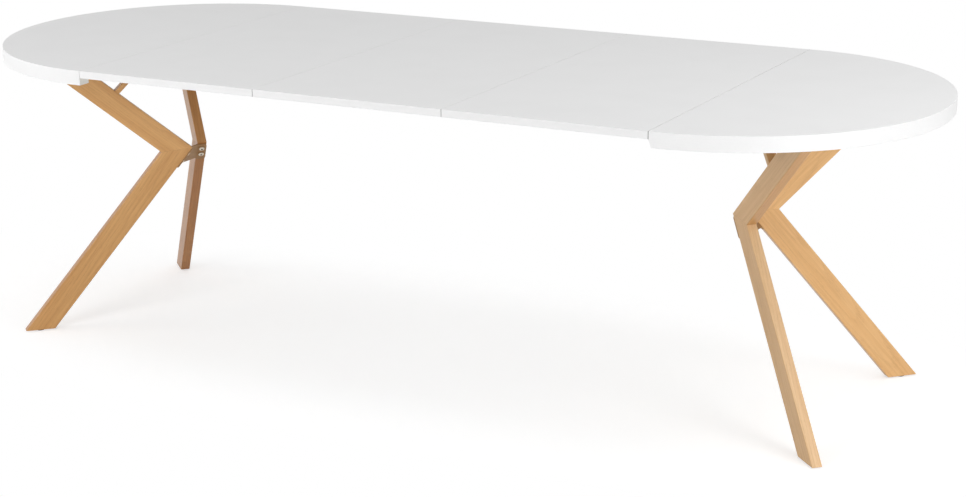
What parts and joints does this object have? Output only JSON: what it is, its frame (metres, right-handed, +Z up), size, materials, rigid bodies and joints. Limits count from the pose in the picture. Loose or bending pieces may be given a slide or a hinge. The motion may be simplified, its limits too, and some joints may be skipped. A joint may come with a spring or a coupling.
{
  "type": "extending dining table",
  "caption": "Long round-ended extending dining table: white leaves between two half-round ends on bent oak legs, opened on runners.",
  "frame": {"origin": "on the floor, under the middle of the opened table", "axes": "+X along the table from the fixed left half to the sliding right half, +Y across it towards the rear, +Z up"},
  "size_m": [2.499, 1, 0.755],
  "materials": {
    "white_laminate": "matt white laminate on fibreboard",
    "oak": "clear-lacquered oak, satin",
    "dowel_wood": "plain beech",
    "brown_steel": "brown powder coat",
    "zinc_steel": "bright zinc plate",
    "bright_steel": "nickel plate",
    "rail_aluminium": "plain extruded aluminium",
    "black_plastic": "moulded black plastic"
  },
  "bodies": {
    "left_half": {"left_front_upper_arm": "oak", "left_front_lower_arm": "oak", "left_front_brace": "oak", "left_rear_upper_arm": "oak", "left_rear_lower_arm": "oak", "left_rear_brace": "oak", "left_end_board": "white_laminate", "left_edge_strip": "white_laminate", "left_edge_band": "white_laminate", "left_bend_bracket": "brown_steel", "left_bend_dowels": "dowel_wood", "left_bracket_bolts": "bright_steel", "left_mounting_plates": "zinc_steel", "left_mounting_screws": "bright_steel", "left_foot_glides": "black_plastic", "left_front_end_rail": "rail_aluminium", "left_rear_end_rail": "rail_aluminium", "left_rail_screws": "bright_steel", "left_latch_pins": "bright_steel"},
    "right_half": {"right_front_upper_arm": "oak", "right_front_lower_arm": "oak", "right_front_brace": "oak", "right_rear_upper_arm": "oak", "right_rear_lower_arm": "oak", "right_rear_brace": "oak", "right_end_board": "white_laminate", "right_edge_strip": "white_laminate", "right_edge_band": "white_laminate", "right_bend_bracket": "brown_steel", "right_bend_dowels": "dowel_wood", "right_bracket_bolts": "bright_steel", "right_mounting_plates": "zinc_steel", "right_mounting_screws": "bright_steel", "right_foot_glides": "black_plastic", "right_front_end_rail": "rail_aluminium", "right_rear_end_rail": "rail_aluminium", "right_rail_screws": "bright_steel", "right_latch_pins": "bright_steel"},
    "left_middle_rails": {"front_middle_rail_1": "rail_aluminium", "rear_middle_rail_1": "rail_aluminium"},
    "right_middle_rails": {"front_middle_rail_2": "rail_aluminium", "rear_middle_rail_2": "rail_aluminium"},
    "leaf_1": {"leaf_1": "white_laminate", "leaf_1_latch_pins": "bright_steel"},
    "leaf_2": {"leaf_2": "white_laminate", "leaf_2_latch_pins": "bright_steel"},
    "leaf_3": {"leaf_3": "white_laminate", "leaf_3_latch_pins": "bright_steel"},
    "front_latch_1": {"front_latch_hook_1": "zinc_steel"},
    "front_latch_2": {"front_latch_hook_2": "zinc_steel"},
    "front_latch_3": {"front_latch_hook_3": "zinc_steel"},
    "front_latch_4": {"front_latch_hook_4": "zinc_steel"},
    "rear_latch_1": {"rear_latch_hook_1": "zinc_steel"},
    "rear_latch_2": {"rear_latch_hook_2": "zinc_steel"},
    "rear_latch_3": {"rear_latch_hook_3": "zinc_steel"},
    "rear_latch_4": {"rear_latch_hook_4": "zinc_steel"}
  },
  "joints": [
    {"name": "right_half_pull", "type": "slide", "parent": "left_half", "child": "right_half", "axis": [1, 0, 0], "range_m": [0, 0.045]},
    {"name": "left_middle_rails_slide", "type": "slide", "parent": "left_half", "child": "left_middle_rails", "axis": [1, 0, 0], "range_m": [0, 0.015]},
    {"name": "right_middle_rails_slide", "type": "slide", "parent": "left_half", "child": "right_middle_rails", "axis": [1, 0, 0], "range_m": [0, 0.03]},
    {"name": "leaf_1_lift", "type": "slide", "parent": "left_half", "child": "leaf_1", "axis": [0, 0, 1], "range_m": [0, 0.3]},
    {"name": "leaf_2_lift", "type": "slide", "parent": "left_half", "child": "leaf_2", "axis": [0, 0, 1], "range_m": [0, 0.3]},
    {"name": "leaf_3_lift", "type": "slide", "parent": "right_half", "child": "leaf_3", "axis": [0, 0, 1], "range_m": [0, 0.3]},
    {"name": "front_latch_1_turn", "type": "hinge", "parent": "left_half", "child": "front_latch_1", "pos_m": [-0.77155, -0.33, 0.73525], "axis": [0, 0, 1], "range_deg": [0, 90]},
    {"name": "front_latch_2_turn", "type": "hinge", "parent": "leaf_1", "child": "front_latch_2", "pos_m": [-0.27225, -0.33, 0.73525], "axis": [0, 0, 1], "range_deg": [0, 90]},
    {"name": "front_latch_3_turn", "type": "hinge", "parent": "leaf_2", "child": "front_latch_3", "pos_m": [0.22705, -0.33, 0.73525], "axis": [0, 0, 1], "range_deg": [0, 90]},
    {"name": "front_latch_4_turn", "type": "hinge", "parent": "leaf_3", "child": "front_latch_4", "pos_m": [0.72635, -0.33, 0.73525], "axis": [0, 0, 1], "range_deg": [0, 90]},
    {"name": "rear_latch_1_turn", "type": "hinge", "parent": "left_half", "child": "rear_latch_1", "pos_m": [-0.77155, 0.33, 0.73525], "axis": [0, 0, 1], "range_deg": [-90, 0]},
    {"name": "rear_latch_2_turn", "type": "hinge", "parent": "leaf_1", "child": "rear_latch_2", "pos_m": [-0.27225, 0.33, 0.73525], "axis": [0, 0, 1], "range_deg": [-90, 0]},
    {"name": "rear_latch_3_turn", "type": "hinge", "parent": "leaf_2", "child": "rear_latch_3", "pos_m": [0.22705, 0.33, 0.73525], "axis": [0, 0, 1], "range_deg": [-90, 0]},
    {"name": "rear_latch_4_turn", "type": "hinge", "parent": "leaf_3", "child": "rear_latch_4", "pos_m": [0.72635, 0.33, 0.73525], "axis": [0, 0, 1], "range_deg": [-90, 0]}
  ],
  "couplings": [
    {"joint": "left_middle_rails_slide", "follows": "right_half_pull", "ratio": 0.33333},
    {"joint": "right_middle_rails_slide", "follows": "right_half_pull", "ratio": 0.66667}
  ]
}
